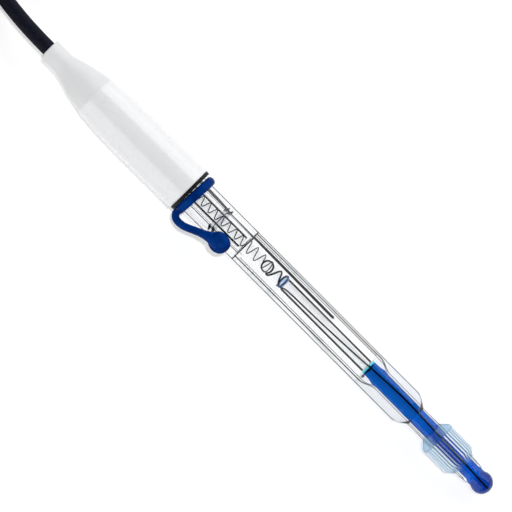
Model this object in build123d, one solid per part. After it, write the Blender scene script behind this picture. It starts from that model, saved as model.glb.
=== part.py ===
from build123d import *
from math import atan2, cos, degrees, radians, sin, sqrt, tan
import os

# Refillable glass pH electrode with a sliding junction sleeve and a coaxial cable ending in a bayonet plug.
# It is drawn along +X, from the cable end of the strain relief at x = 0 to the tip of the bulb, and then laid
# down as it rests, on the cap's rim and on the sleeve. The origin is the bottom centre of the electrode's own
# box, +X runs from the cap to the tip and +Z is up. Millimetres.

# Strain relief and cap
boot_length = 20.6
boot_nose_length = 4.2
boot_nose_radius = 3.75
boot_base_radius = 7.1
spigot_length = 6.4
spigot_radius = 4.5
cap_length = 41.8
cap_top_radius = 7.3
cap_radius = 8.25
cap_taper_length = 19.4
cap_rim_chamfer = 0.3
cap_roof = 1.9
cavity_radius = 5.6
seat_depth = 18.4
glue_gap = 0.05

# Gasket and bung
gasket_thickness = 1.2
gasket_radius = 8.0
bung_flange = 1.0
bung_skirt = 5.0

# Outer shaft
shaft_radius = 6.0
shaft_wall = 1.0
free_shaft_length = 96.6
shoulder_length = 4.8
stem_radius = 3.55
stem_wall = 0.7
stem_length = 26.2
seal_length = 1.0
ground_offset = 5.2
ground_length = 18.4
ground_start_radius = 3.62
ground_end_radius = 3.74
weep_hole_radius = 0.5

# Filling hole and rubber closure
hole_offset = 18.7
hole_radius = 2.0
hole_azimuth = 42.0
closure_ring_offset = 2.95
closure_ring_width = 2.8
closure_ring_height = 1.85
closure_ring_tilt = 2.6
strap_radius = 1.2
strap_gap = 0.3
strap_bow = 3.75
stopper_clearance = 0.06
stopper_reach = 1.4
head_radius = 3.3
head_top_radius = 2.7
head_height = 3.3
head_lift = 0.3

# Inner glass
tube_radius = 3.75
tube_wall = 0.6
funnel_start_offset = 81.5
funnel_length = 4.7
inner_stem_radius = 2.6
inner_stem_wall = 0.6
bulb_radius = 3.6
bulb_wall = 0.4
bulb_offset = 3.6
neck_radius = 3.1
seal_ring_offset = 12.9
seal_ring_width = 2.2
level_offset = 25.1
gel_rise = 1.7

# Contact cartridge
guide_radius = 2.05
guide_bore = 1.65
guide_stand = 2.0
guide_reach = 24.1
cartridge_overlap = 2.1
collar_offset = 40.7
collar_length = 2.1
collar_radius = 2.45
terminal_head = 2.5
terminal_length = 16.0
spring_radius = 1.45
spring_wire_radius = 0.125
spring_pitch = 3.05
element_wire_radius = 0.15
element_wire_reach = 2.2

# Reference wire
wire_radius = 0.225
wire_orbit = 4.4
wire_azimuth = -50.0
wire_reach = 61.1

# Junction sleeve
sleeve_offset = 7.5
sleeve_length = 14.4
sleeve_radius = 5.85
sleeve_lip_radius = 4.1
sleeve_nose_radius = 3.95
sleeve_lip = 0.6
sleeve_top_chamfer = 1.4
sleeve_tip_chamfer = 2.4
sleeve_collar = 3.2
sleeve_clearance = 0.03
rib_count = 32
rib_depth = 0.45
rib_crest = 0.3

# Cable
cable_radius = 2.5
core_radius = 1.5
braid_radius = 1.8
conductor_radius = 0.35
entry_margin = 1.0
braid_length = 5.0
crimp_length = 6.0
core_bare = 2.5

# Cable hank: four strands wound round a long loop, held by two ties
hank_near_x = -41.4
hank_straight = 73.0
hank_y = -15.3
hank_fold_radius = 17.5
strand_offset = 2.5
tie_width = 4.0
tie_thickness = 0.6
floor_clearance = 0.02
exit_straight = 10.0
lie_overlap = 9.1
tail_lead = 3.9
tail_bend = 27.8

# Bayonet plug, which lies inside the hank
plug_nose_x = -34.2
nut_radius = 7.25
nut_length = 14.5
nut_bore = 4.9
nut_back_wall = 2.5
nut_running_gap = 0.1
nut_slot_width = 2.3
nut_slot_depth = 7.5
sleeve_contact_radius = 4.05
sleeve_contact_wall = 0.45
contact_slit = 0.5
flange_radius = 4.75
flange_thickness = 1.2
washer_thickness = 0.5
gasket_ring_width = 1.0
body_back_length = 4.5
tail_radius = 2.9
tail_wall = 0.55
tail_length = 7.5
crimp_wall = 0.4
pin_radius = 0.68
pin_setback = 1.5
insulator_setback = 3.0
plug_boot_length = 17.0
plug_boot_radius = 4.6
plug_boot_end_radius = 3.5

# Places along the electrode
cap_start = boot_length
cap_end = cap_start + cap_length
shaft_top = cap_end - seat_depth
entry_depth = boot_length + spigot_length + entry_margin
shaft_bore = shaft_radius - shaft_wall
shoulder_start = cap_end + free_shaft_length
stem_start = shoulder_start + shoulder_length
stem_bore = stem_radius - stem_wall
stem_end = stem_start + stem_length
ground_start = stem_start + ground_offset
ground_end = ground_start + ground_length
tube_bore = tube_radius - tube_wall
funnel_start = cap_end + funnel_start_offset
funnel_end = funnel_start + funnel_length
inner_stem_bore = inner_stem_radius - inner_stem_wall
bulb_x = stem_end + bulb_offset
bulb_bore = bulb_radius - bulb_wall
neck_bore = neck_radius - bulb_wall
level_x = cap_end + level_offset
gel_top = funnel_start - gel_rise
collar_x = cap_end + collar_offset
cartridge_start = collar_x + collar_length
cartridge_end = funnel_start + cartridge_overlap
guide_top = shaft_top - bung_flange - guide_stand
guide_end = cap_end + guide_reach
terminal_top = guide_top - terminal_head
spring_start = terminal_top + terminal_length
hole_x = cap_end + hole_offset
sleeve_start = stem_start + sleeve_offset
sleeve_end = sleeve_start + sleeve_length
sleeve_shoulder = sleeve_end - sleeve_tip_chamfer
flange_back = -nut_length + nut_back_wall + washer_thickness
flange_front = flange_back + flange_thickness
body_back = -nut_length - body_back_length
tail_back = body_back - tail_length
plug_boot_back = tail_back + 5.0 - plug_boot_length
bundle_radius = strand_offset * sqrt(2) + cable_radius
hank_z = floor_clearance + bundle_radius
hank_far_x = hank_near_x - hank_straight

# The tilt at which the cap's rim and the sleeve both touch the floor
rim_x = cap_end - cap_rim_chamfer
tilt = degrees(atan2(cap_radius - sleeve_radius, sleeve_shoulder - rim_x))
lift = rim_x * sin(radians(tilt)) + cap_radius * cos(radians(tilt))
LAID = Location((0, 0, lift), (0, tilt, 0))


def turned(*outline):
    """A solid turned about the X axis from the edges of its half section."""
    return revolve(make_face(Curve() + list(outline)), Axis.X)


def ring(start, end, outer, inner=0.0):
    """A plain cylinder or tube about the X axis."""
    return turned(Polyline((start, inner), (start, outer), (end, outer), (end, inner), close=True))


def ease(start, end):
    """A smooth step between two radii, level at both ends."""
    return Spline(start, end, tangents=[(1, 0), (1, 0)])


def shoulder(start, end):
    """The blown shoulder between two radii, level at the shaft and steep where the stem begins."""
    (x0, r0), (x1, r1) = start, end
    long, drop = x1 - x0, r0 - r1
    return Bezier(start, (x0 + 0.33 * long, r0), (x0 + 0.73 * long, r1 + 0.43 * drop), end)


def hank_strand(across, up):
    """The y and z of a strand on the hank's straight side, from the middle of the bundle."""
    return hank_fold_radius + across, hank_z + up


def between(one, two, *shares):
    """A point between two others, with a share of the way for each axis."""
    return tuple(a + share * (b - a) for a, b, share in zip(one, two, shares))


def smooth_path(points):
    """Straight runs joined by tangent arcs, each as large as its two runs allow."""
    points = [Vector(*p) for p in points]
    radii = []
    for before, corner, after in zip(points, points[1:], points[2:]):
        shorter = min((corner - before).length, (after - corner).length)
        turn = radians((corner - before).get_angle(after - corner))
        radii.append(0.45 * shorter / tan(turn / 2))
    print("arc radii", [round(r, 1) for r in radii])
    return FilletPolyline(*points, radius=radii)


def swept(points, radius):
    """A round cord along a smooth path."""
    path = smooth_path(points)
    section = Plane(origin=path @ 0, z_dir=path % 0) * Circle(radius)
    return sweep(section, path=path)


# Cap


def strain_relief_boot():
    nose = (boot_nose_length, boot_nose_radius)
    waist = (0.59 * boot_length, 0.5 * (boot_nose_radius + boot_base_radius) - 0.12)
    outside = Spline(nose, waist, (boot_length, boot_base_radius), tangents=[(1, 0), (1, 0.16)])
    back = boot_length + spigot_length
    body = turned(
        Polyline((0, cable_radius), (0, boot_nose_radius - 0.3), (0.3, boot_nose_radius), nose),
        outside,
        Polyline(
            (boot_length, boot_base_radius),
            (boot_length, spigot_radius),
            (back, spigot_radius),
            (back, cable_radius),
            (0, cable_radius),
        ),
    )
    return body


def cap_barrel():
    taper_end = cap_start + cap_taper_length
    roof = boot_length + spigot_length
    side = Spline((cap_start, cap_top_radius), (taper_end, cap_radius), tangents=[(1, 0.13), (1, 0)])
    seat = shaft_radius + glue_gap
    return turned(
        side,
        Polyline(
            (taper_end, cap_radius),
            (rim_x, cap_radius),
            (cap_end, cap_radius - cap_rim_chamfer),
            (cap_end, seat),
            (shaft_top, seat),
            (shaft_top, cavity_radius),
            (roof + cap_roof, cavity_radius),
            (roof, spigot_radius),
            (cap_start, spigot_radius),
            (cap_start, cap_top_radius),
        ),
    )


def cap_gasket():
    return ring(cap_end, cap_end + gasket_thickness, gasket_radius, shaft_radius)


def reference_wire_points():
    """The wire leaves the crimp, bends out to its orbit and runs down the outer chamber."""
    y, z = -sin(radians(wire_azimuth)), cos(radians(wire_azimuth))
    near = cable_radius + wire_radius
    stations = (
        (entry_depth + 0.5, near),
        (entry_depth + 6.5, near),
        (shaft_top - bung_flange - 1.5, wire_orbit),
        (cap_end + wire_reach, wire_orbit),
    )
    return [(x, r * y, r * z) for x, r in stations]


def reference_wire():
    wire = swept(reference_wire_points(), wire_radius)
    tip = Vector(*reference_wire_points()[-1])
    return wire + Pos(tip) * Sphere(wire_radius)


def wire_passage():
    """The hole that the reference wire needs through the bung and the seal ring."""
    x, y, z = reference_wire_points()[-1]
    return Pos(cap_end, y, z) * Rot(0, 90, 0) * Cylinder(wire_radius, 4 * seat_depth)


def top_bung():
    flange = ring(shaft_top - bung_flange, shaft_top, shaft_radius - 0.4, guide_radius)
    outer_skirt = ring(shaft_top, shaft_top + bung_skirt, shaft_bore, tube_radius)
    inner_skirt = ring(shaft_top, shaft_top + bung_skirt, tube_bore, guide_radius)
    return flange + outer_skirt + inner_skirt - wire_passage()


def spring_terminal():
    head = ring(terminal_top, guide_top, guide_radius)
    shank = ring(guide_top, spring_start, guide_bore)
    return head + chamfer(shank.edges().sort_by(Axis.X)[-1], 0.4)


def cable_jacket_end():
    return ring(0, entry_depth, cable_radius)


def screen_braid():
    return ring(entry_depth, entry_depth + braid_length, braid_radius, core_radius)


def crimp_ferrule():
    return ring(entry_depth, entry_depth + crimp_length, cable_radius, braid_radius)


def core_insulation():
    return ring(entry_depth, terminal_top - core_bare, core_radius, conductor_radius)


def core_conductor():
    return ring(entry_depth, terminal_top, conductor_radius)


def potting_resin(buried):
    """Resin fills the cap's cavity round everything that stands in it."""
    roof = boot_length + spigot_length
    fill = turned(
        Polyline(
            (roof, 0),
            (roof, spigot_radius),
            (roof + cap_roof, cavity_radius),
            (shaft_top, cavity_radius),
            (shaft_top, 0),
            close=True,
        )
    )
    for piece in buried:
        fill -= piece
    return fill


# Glass


def outer_shaft():
    inner_turn = stem_end - seal_length
    body = turned(
        Polyline(
            (shaft_top, shaft_bore), (shaft_top, shaft_radius), (shoulder_start, shaft_radius)
        ),
        shoulder((shoulder_start, shaft_radius), (stem_start, stem_radius)),
        Polyline(
            (stem_start, stem_radius),
            (ground_start, stem_radius),
            (ground_start + 0.2, ground_start_radius),
            (ground_end, ground_end_radius),
            (ground_end + 0.4, stem_radius),
            (stem_end - 0.6, stem_radius),
            (stem_end, neck_radius),
            (stem_end, inner_stem_radius),
            (inner_turn, inner_stem_radius),
            (inner_turn - 0.4, stem_bore),
            (stem_start, stem_bore),
        ),
        shoulder((shoulder_start, shaft_bore), (stem_start, stem_bore)),
        Line((shoulder_start, shaft_bore), (shaft_top, shaft_bore)),
    )
    filling_hole = Pos(hole_x, 0, 0) * Rot(hole_azimuth, 0, 0) * Pos(0, 0, shaft_radius)
    filling_hole *= Cylinder(hole_radius, 2 * shaft_radius - shaft_wall)
    weep_hole = Pos((sleeve_start + sleeve_end) / 2, 0, 0) * Rot(200, 0, 0) * Pos(0, 0, stem_radius)
    weep_hole *= Cylinder(weep_hole_radius, 3 * stem_wall)
    return body - filling_hole - weep_hole


def tube_inside():
    """The wetted bore of the inner tube, down to the stem's end."""
    return [
        ease((funnel_start, tube_bore), (funnel_end, inner_stem_bore)),
        Line((funnel_end, inner_stem_bore), (stem_end, inner_stem_bore)),
    ]


def ph_tube():
    return turned(
        Polyline((shaft_top, tube_bore), (shaft_top, tube_radius), (funnel_start, tube_radius)),
        ease((funnel_start, tube_radius), (funnel_end, inner_stem_radius)),
        Polyline(
            (funnel_end, inner_stem_radius),
            (stem_end, inner_stem_radius),
            (stem_end, inner_stem_bore),
        ),
        *tube_inside(),
        Line((funnel_start, tube_bore), (shaft_top, tube_bore)),
    )


def dome(radius, neck):
    """The round end of the bulb from its neck to the tip."""
    start = (bulb_x - sqrt(radius**2 - neck**2), neck)
    return start, ThreePointArc(start, (bulb_x, radius), (bulb_x + radius, 0))


def sensing_bulb():
    outer_start, outside = dome(bulb_radius, neck_radius)
    inner_start, inside = dome(bulb_bore, neck_bore)
    return turned(
        Polyline((stem_end, inner_stem_bore), (stem_end, neck_radius), outer_start),
        outside,
        Line((bulb_x + bulb_radius, 0), (bulb_x + bulb_bore, 0)),
        inside,
        Line(inner_start, (stem_end, inner_stem_bore)),
    )


def element_wire():
    start = collar_x + 0.3
    return ring(start, bulb_x + element_wire_reach, element_wire_radius)


def inner_gel():
    inner_start, inside = dome(bulb_bore, neck_bore)
    fill = turned(
        Polyline((bulb_x + bulb_bore, 0), (gel_top, 0), (gel_top, tube_bore), (funnel_start, tube_bore)),
        *tube_inside(),
        Line((stem_end, inner_stem_bore), inner_start),
        inside,
    )
    return fill - cartridge_tube() - element_wire()


def reference_electrolyte():
    inner_turn = stem_end - seal_length
    fill = turned(
        Polyline((level_x, tube_radius), (level_x, shaft_bore), (shoulder_start, shaft_bore)),
        shoulder((shoulder_start, shaft_bore), (stem_start, stem_bore)),
        Polyline(
            (stem_start, stem_bore),
            (inner_turn - 0.4, stem_bore),
            (inner_turn, inner_stem_radius),
            (funnel_end, inner_stem_radius),
        ),
        ease((funnel_start, tube_radius), (funnel_end, inner_stem_radius)),
        Line((funnel_start, tube_radius), (level_x, tube_radius)),
    )
    return fill - reference_wire()


def seal_ring():
    start = cap_end + seal_ring_offset
    body = ring(start, start + seal_ring_width, shaft_bore, tube_radius)
    return body - wire_passage()


# Contact cartridge


def guide_tube():
    return ring(guide_top, guide_end, guide_radius, guide_bore)


def cartridge_tube():
    return ring(cartridge_start, cartridge_end, guide_radius, guide_bore)


def cartridge_collar():
    body = ring(collar_x, cartridge_start, collar_radius)
    body = fillet(body.edges(), 0.3)
    return body - element_wire()


def contact_spring():
    length = collar_x - spring_start - 2 * spring_wire_radius
    helix = Helix(spring_pitch, length, spring_radius, direction=(1, 0, 0))
    helix = Pos(spring_start + spring_wire_radius, 0, 0) * helix
    section = Plane(origin=helix @ 0, z_dir=helix % 0) * RegularPolygon(spring_wire_radius, 6)
    return sweep(section, path=helix, is_frenet=True)


# Rubber closure


def stopper_pose():
    return Pos(hole_x, 0, 0) * Rot(hole_azimuth, 0, 0)


def closure_stopper():
    base = shaft_radius + head_lift
    plug_start = shaft_radius - stopper_reach
    plug = Pos(0, 0, plug_start) * Cylinder(
        hole_radius - stopper_clearance,
        base - plug_start,
        align=(Align.CENTER, Align.CENTER, Align.MIN),
    )
    plug = chamfer(plug.edges().sort_by(Axis.Z)[0], 0.3)
    head = Pos(0, 0, base) * Cone(
        head_radius, head_top_radius, head_height, align=(Align.CENTER, Align.CENTER, Align.MIN)
    )
    head = fillet(head.edges().sort_by(Axis.Z)[-1], 0.9)
    head = fillet(head.edges().sort_by(Axis.Z)[0], 0.5)
    return stopper_pose() * (plug + head)


def closure_ring():
    """The ring round the shaft and the strap that loops out to the stopper, in one moulding."""
    x = cap_end + closure_ring_offset
    middle = shaft_radius + closure_ring_height / 2
    half = closure_ring_width / 2
    band = turned(
        Polyline((half, middle), (half, 0.9 * shaft_radius), (-half, 0.9 * shaft_radius), (-half, middle)),
        ThreePointArc((-half, middle), (0, shaft_radius + closure_ring_height), (half, middle)),
    )
    band = Pos(x, 0, 0) * Rot(0, 0, -closure_ring_tilt) * band
    head = shaft_radius + head_lift + head_height / 2
    azimuth = radians(hole_azimuth)
    start = (x, -middle, 0)
    end = (hole_x, -head * sin(azimuth), head * cos(azimuth))
    bow = (hole_x, -shaft_radius - strap_bow, end[2])
    strap = swept(
        [
            start,
            between(start, bow, 0.01, 0.93, 0.17),
            between(start, bow, 0.27, 1, 0.46),
            between(start, end, 0.57, -0.61, 0.75),
            between(start, end, 0.87, 0.64, 0.95),
        ],
        strap_radius,
    )
    way = stopper_pose() * Cylinder(head_radius + strap_gap, 4 * shaft_radius)
    shaft = ring(cap_end, shoulder_start, shaft_radius)
    return band + (strap - way) - shaft


# Junction sleeve


def rib_groove():
    """One groove between two ribs, level along the sleeve and then down its chamfer."""
    root = sleeve_radius - rib_depth
    pitch = 2 * 3.14159 * sleeve_radius / rib_count
    top = pitch - rib_crest
    mouth = sleeve_radius + 0.15
    section = Polyline(
        (-0.2 * top, root), (0.2 * top, root), (0.55 * top, mouth), (-0.55 * top, mouth), close=True
    )
    start = sleeve_start + sleeve_collar
    level = Plane(origin=(start, 0, 0), x_dir=(0, 1, 0), z_dir=(1, 0, 0)) * make_face(section)
    drop = sleeve_radius - sleeve_nose_radius
    slope = Plane(origin=(sleeve_shoulder, 0, 0), x_dir=(0, 1, 0), z_dir=(1, 0, 0)) * make_face(section)
    along = Vector(sleeve_tip_chamfer, 0, -drop)
    straight = extrude(level, sleeve_shoulder - start)
    down = extrude(slope, 1.3 * along.length, dir=along.normalized())
    return straight + down


def junction_sleeve():
    slope = (ground_end_radius - ground_start_radius) / ground_length
    bore_start = ground_start_radius + slope * (sleeve_start - ground_start) + sleeve_clearance
    bore_end = bore_start + slope * sleeve_length
    shoulder = sleeve_start + sleeve_lip + sleeve_top_chamfer
    body = turned(
        Polyline(
            (sleeve_start, bore_start),
            (sleeve_start, sleeve_lip_radius),
            (sleeve_start + sleeve_lip, sleeve_lip_radius + 0.5),
            (shoulder, sleeve_radius),
            (sleeve_shoulder, sleeve_radius),
            (sleeve_end, sleeve_nose_radius),
            (sleeve_end, bore_end),
            close=True,
        )
    )
    groove = rib_groove()
    grooves = [Rot(i * 360 / rib_count + 180 / rib_count, 0, 0) * groove for i in range(rib_count)]
    return body - grooves


# Cable


def cable_run():
    """The free cable from the boot down to the hank."""
    across, up = hank_strand(strand_offset, -strand_offset)
    leave = (LAID * Pos(-exit_straight, 0, 0)).position
    lie = (hank_near_x - lie_overlap, hank_y + across, up)
    points = [
        LAID.position,
        leave,
        between(leave, lie, 0.34, 0.36, 0.37),
        between(leave, lie, 0.67, 0.84, 0.87),
        lie,
    ]
    return swept(points, cable_radius)


def hank_line(radius):
    """The hank's long loop, seen from above, at a given radius of its folds."""
    y, z = hank_y, hank_z
    near, far = hank_near_x, hank_far_x
    return Curve() + [
        Line((near, y + radius, z), (far, y + radius, z)),
        ThreePointArc((far, y + radius, z), (far - radius, y, z), (far, y - radius, z)),
        Line((far, y - radius, z), (near, y - radius, z)),
        ThreePointArc((near, y - radius, z), (near + radius, y, z), (near, y + radius, z)),
    ]


def cable_hank():
    """The outer shape of the tied turns of cable."""
    path = Wire(hank_line(hank_fold_radius).edges())
    section = Plane(origin=(hank_near_x, hank_y + hank_fold_radius, hank_z), z_dir=(-1, 0, 0))
    return sweep(section * Circle(bundle_radius), path=path)


def hank_ties():
    middle = (hank_near_x + hank_far_x) / 2
    side = 2 * (strand_offset + cable_radius)
    outside = RectangleRounded(*2 * [side + 2 * tie_thickness], cable_radius + tie_thickness)
    band = outside - RectangleRounded(side, side, cable_radius)
    band = Rot(0, 90, 0) * extrude(band, tie_width / 2, both=True)
    return [Pos(middle, hank_y + way * hank_fold_radius, hank_z) * band for way in (1, -1)]


def cable_tail():
    """The last stretch of cable, out of the inner side of the hank and into the plug's boot."""
    across, up = hank_strand(-strand_offset, -strand_offset)
    side = hank_y - across
    turn_in = (hank_far_x + tail_lead, side, up)
    turn_out = (hank_far_x + tail_lead + tail_bend, hank_y, nut_radius)
    points = [
        (hank_far_x - 1.7 * tail_lead, side, up - 0.1),
        turn_in,
        between(turn_in, turn_out, 0.36, 0.25, 0.24),
        between(turn_in, turn_out, 0.65, 0.73, 0.65),
        turn_out,
        (plug_nose_x + plug_boot_back, hank_y, nut_radius),
    ]
    return swept(points, cable_radius)


# Bayonet plug, drawn along +X with its open end at x = 0


def coupling_nut():
    body = turned(
        Polyline(
            (0, nut_bore),
            (0, nut_radius - 0.8),
            (-3.2, nut_radius - 0.6),
            (-3.8, nut_radius),
            (-nut_length + 0.6, nut_radius),
            (-nut_length, nut_radius - 0.6),
            (-nut_length, sleeve_contact_radius + nut_running_gap),
            (-nut_length + nut_back_wall, sleeve_contact_radius + nut_running_gap),
            (-nut_length + nut_back_wall, nut_bore),
            close=True,
        )
    )
    slot = Pos(-nut_slot_depth / 2, 0, nut_bore) * Box(nut_slot_depth, nut_slot_width, 1.6)
    lock = Pos(-nut_slot_depth, 0, nut_bore) * Cylinder(nut_slot_width / 2, 2 * nut_bore)
    cut = slot + (lock - ring(-nut_length, 0, nut_bore - 0.2))
    return body - [Rot(turn, 0, 0) * cut for turn in (90, 270)]


def plug_body():
    contact_bore = sleeve_contact_radius - sleeve_contact_wall
    shell = turned(
        Polyline(
            (-1.0, contact_bore),
            (-1.0, sleeve_contact_radius - 0.15),
            (-2.0, sleeve_contact_radius),
            (flange_front, sleeve_contact_radius),
            (flange_front, flange_radius),
            (flange_back, flange_radius),
            (flange_back, sleeve_contact_radius),
            (-nut_length - 0.3, sleeve_contact_radius),
            (-nut_length - 0.3, sleeve_contact_radius + 0.9),
            (body_back, sleeve_contact_radius + 0.9),
            (body_back, tail_radius),
            (tail_back, tail_radius),
            (tail_back, tail_radius - tail_wall),
            (body_back, tail_radius - tail_wall),
            (body_back + 0.5, contact_bore),
            close=True,
        )
    )
    slit = Pos(-1.0 - 2.5, 0, sleeve_contact_radius) * Box(5.2, contact_slit, 2.0)
    return shell - [Rot(turn, 0, 0) * slit for turn in (0, 90, 180, 270)]


def plug_spring_washer():
    return ring(-nut_length + nut_back_wall, flange_back, nut_bore - 0.1, sleeve_contact_radius + 0.05)


def plug_gasket():
    return ring(flange_front, flange_front + gasket_ring_width, nut_bore - 0.15, sleeve_contact_radius)


def plug_pin():
    pin = ring(body_back + 1.0, -pin_setback, pin_radius)
    return fillet(pin.edges().sort_by(Axis.X)[-1], 0.5)


def plug_insulator():
    front = ring(flange_back, -insulator_setback, 2.4, pin_radius)
    back = ring(body_back + 0.5, flange_back, sleeve_contact_radius - sleeve_contact_wall, pin_radius)
    return front + back


def plug_core():
    return ring(tail_back, body_back + 0.5, tail_radius - tail_wall)


def plug_cable():
    return ring(plug_boot_back, tail_back, cable_radius)


def plug_crimp():
    return ring(tail_back, body_back, tail_radius + crimp_wall, tail_radius)


def plug_boot():
    end = plug_boot_back
    crimp = tail_radius + crimp_wall
    body = turned(
        Polyline(
            (end, cable_radius),
            (end, plug_boot_end_radius),
            (end + 12.0, plug_boot_radius - 0.2),
            (tail_back + 5.0, plug_boot_radius),
            (tail_back + 5.0, crimp),
            (tail_back, crimp),
            (tail_back, cable_radius),
            close=True,
        )
    )
    grip = ring(0, 0.8, 2 * plug_boot_radius, plug_boot_end_radius - 0.1)
    return body - [Pos(end + 2.5 + 2.2 * i, 0, 0) * grip for i in range(4)]


reference = reference_wire()
in_resin = [
    reference,
    cable_jacket_end(),
    crimp_ferrule(),
    screen_braid(),
    core_insulation(),
    core_conductor(),
    spring_terminal(),
    guide_tube(),
    top_bung(),
]
electrode = {
    "strain_relief_boot": strain_relief_boot(),
    "cap_barrel": cap_barrel(),
    "cap_gasket": cap_gasket(),
    "potting_resin": potting_resin(in_resin),
    "top_bung": top_bung(),
    "spring_terminal": spring_terminal(),
    "cable_jacket_end": cable_jacket_end(),
    "screen_braid": screen_braid(),
    "crimp_ferrule": crimp_ferrule(),
    "core_insulation": core_insulation(),
    "core_conductor": core_conductor(),
    "outer_shaft": outer_shaft(),
    "ph_tube": ph_tube(),
    "sensing_bulb": sensing_bulb(),
    "inner_gel": inner_gel(),
    "reference_electrolyte": reference_electrolyte(),
    "reference_wire": reference,
    "element_wire": element_wire(),
    "contact_spring": contact_spring(),
    "guide_tube": guide_tube(),
    "cartridge_tube": cartridge_tube(),
    "cartridge_collar": cartridge_collar(),
    "seal_ring": seal_ring(),
    "closure_ring": closure_ring(),
    "closure_stopper": closure_stopper(),
    "junction_sleeve": junction_sleeve(),
}
cable = {
    "cable_run": cable_run(),
    "cable_hank": cable_hank(),
    "cable_tail": cable_tail(),
    "hank_ties": hank_ties(),
}
plug = {
    "plug_coupling_nut": coupling_nut(),
    "plug_body": plug_body(),
    "plug_spring_washer": plug_spring_washer(),
    "plug_gasket": plug_gasket(),
    "plug_pin": plug_pin(),
    "plug_insulator": plug_insulator(),
    "plug_core": plug_core(),
    "plug_cable": plug_cable(),
    "plug_crimp": plug_crimp(),
    "plug_boot": plug_boot(),
}

# Lay everything down and move the origin to the bottom centre of the electrode's own box
laid = {node: LAID * piece for node, piece in electrode.items()}
box = Compound([solid for piece in laid.values() for solid in piece.solids()]).bounding_box()
origin = Vector(box.center().X, box.center().Y, 0)
plug_place = Pos(plug_nose_x, hank_y, nut_radius)
laid.update(cable)
laid.update({node: plug_place * piece for node, piece in plug.items()})

os.makedirs("parts", exist_ok=True)
print("origin in the drawing", tuple(origin), "lowest point", round(box.min.Z, 4), "tilt", round(tilt, 4))
for node, piece in laid.items():
    solids = piece if isinstance(piece, list) else piece.solids()
    shape = Compound(solids) if len(solids) > 1 else solids[0]
    export_step(Pos(-origin) * shape, f"parts/{node}.step")
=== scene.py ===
import math

import bmesh
import bpy
from mathutils import Matrix, Vector


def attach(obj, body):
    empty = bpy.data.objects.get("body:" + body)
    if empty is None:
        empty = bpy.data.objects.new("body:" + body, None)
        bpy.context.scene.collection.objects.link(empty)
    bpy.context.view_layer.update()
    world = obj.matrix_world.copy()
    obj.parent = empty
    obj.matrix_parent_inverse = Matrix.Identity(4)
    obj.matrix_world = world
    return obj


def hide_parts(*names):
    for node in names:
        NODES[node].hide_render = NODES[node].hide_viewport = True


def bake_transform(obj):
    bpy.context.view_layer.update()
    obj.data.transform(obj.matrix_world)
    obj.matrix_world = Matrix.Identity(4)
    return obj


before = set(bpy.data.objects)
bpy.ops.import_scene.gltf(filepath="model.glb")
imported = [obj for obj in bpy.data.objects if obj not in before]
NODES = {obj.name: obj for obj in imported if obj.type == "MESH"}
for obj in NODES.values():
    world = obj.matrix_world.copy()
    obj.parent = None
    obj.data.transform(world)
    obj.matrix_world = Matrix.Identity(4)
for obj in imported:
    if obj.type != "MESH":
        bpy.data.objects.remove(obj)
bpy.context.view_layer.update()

MM = 0.001
UNMOVED = Matrix.Identity(4)

# The electrode is drawn along +X from the cable end of its strain relief, in millimetres, and laid
# down as in the CAD model: tilted until the cap's rim and the sleeve touch the floor.
RIM = 62.1
SLEEVE_SHOULDER = 183.3
CAP_RADIUS = 8.25
SLEEVE_RADIUS = 5.85
TILT = math.atan2(CAP_RADIUS - SLEEVE_RADIUS, SLEEVE_SHOULDER - RIM)
LIFT = RIM * math.sin(TILT) + CAP_RADIUS * math.cos(TILT)
ORIGIN_X, ORIGIN_Y = 98.54688, -1.31044
LAID = (
    Matrix.Translation(Vector((-ORIGIN_X, -ORIGIN_Y, LIFT)) * MM)
    @ Matrix.Rotation(TILT, 4, "Y")
)
AXIS = (math.cos(TILT), 0, -math.sin(TILT))

# Stations along the glass and its radii
SHAFT_TOP = 44.0                # inside the cap
LEVEL = 87.5                    # of the filling, with air above it
GEL_TOP = 142.2
SHOULDER, STEM = 159.0, 163.8   # where the shaft starts to narrow and has narrowed
STEM_END = 190.0
BULB, BULB_RADIUS = 193.6, 3.6
SHAFT_RADIUS, BORE_RADIUS = 6.0, 5.0
TUBE_RADIUS, TUBE_BORE = 3.75, 3.2
TUBE_STEM_RADIUS, TUBE_STEM_BORE = 2.5, 2.06
FUNNEL_END = 148.8


def row(x, y, z):
    """A point of the laid frame, in millimetres, as a point of the row frame, in metres."""
    return Vector((x - ORIGIN_X, y - ORIGIN_Y, z)) * MM


# Outlines: lists of (x, r) stations in millimetres


def smooth_step(value, start, end):
    t = min(1.0, max(0.0, (value - start) / (end - start)))
    return t * t * (3 - 2 * t)


def ease(start, end, steps=14):
    """A smooth step between two stations, level at both ends."""
    (x0, r0), (x1, r1) = start, end
    shares = [i / steps for i in range(steps + 1)]
    return [(x0 + (x1 - x0) * t, r0 + (r1 - r0) * smooth_step(t, 0, 1)) for t in shares]


def run(start, end, radius, pitch=4.0):
    """A straight wall, with stations close enough for long thin faces not to cost precision."""
    steps = max(1, round((end - start) / pitch))
    return [(start + (end - start) * i / steps, radius) for i in range(steps + 1)]


def bezier(p0, p1, p2, p3, steps=16):
    found = []
    for i in range(steps + 1):
        t = i / steps
        k = ((1 - t) ** 3, 3 * t * (1 - t) ** 2, 3 * t * t * (1 - t), t**3)
        found.append(tuple(sum(w * p[n] for w, p in zip(k, (p0, p1, p2, p3))) for n in (0, 1)))
    return found


def arc(centre, radius, start, end, steps):
    """A circle about (centre, 0), between two angles in degrees measured from +X."""
    found = []
    for i in range(steps + 1):
        a = math.radians(start + (end - start) * i / steps)
        found.append((centre + radius * math.cos(a), abs(radius * math.sin(a))))
    return found


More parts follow.
